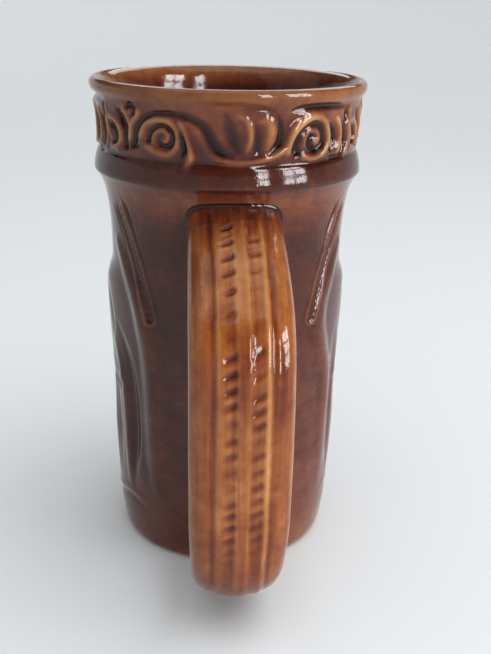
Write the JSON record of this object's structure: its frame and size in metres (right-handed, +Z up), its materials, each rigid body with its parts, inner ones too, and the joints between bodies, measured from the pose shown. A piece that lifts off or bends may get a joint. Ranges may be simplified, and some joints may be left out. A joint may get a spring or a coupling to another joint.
{
  "type": "tankard mug",
  "caption": "Tall round glazed stoneware mug with a flared lip, scroll band, rolled moulding, folk drapery in relief and a broad strap handle to drink from one-handed.",
  "frame": {"origin": "centre of the foot, on the surface the mug stands on", "axes": "+Z up along the axis of the body, -Y towards the handle, +X to the right when the handle faces the viewer"},
  "size_m": [0.0902, 0.1324, 0.16],
  "materials": {
    "body_glaze": "dark maroon-brown gloss glaze over stoneware, amber where it thins on the relief",
    "handle_glaze": "streaked amber-brown gloss glaze",
    "joint_glaze": "pooled near-black gloss glaze"
  },
  "bodies": {
    "root": {"mug_body": "body_glaze", "handle": "handle_glaze", "upper_joint_slip": "joint_glaze", "lower_joint_slip": "joint_glaze"}
  },
  "joints": []
}
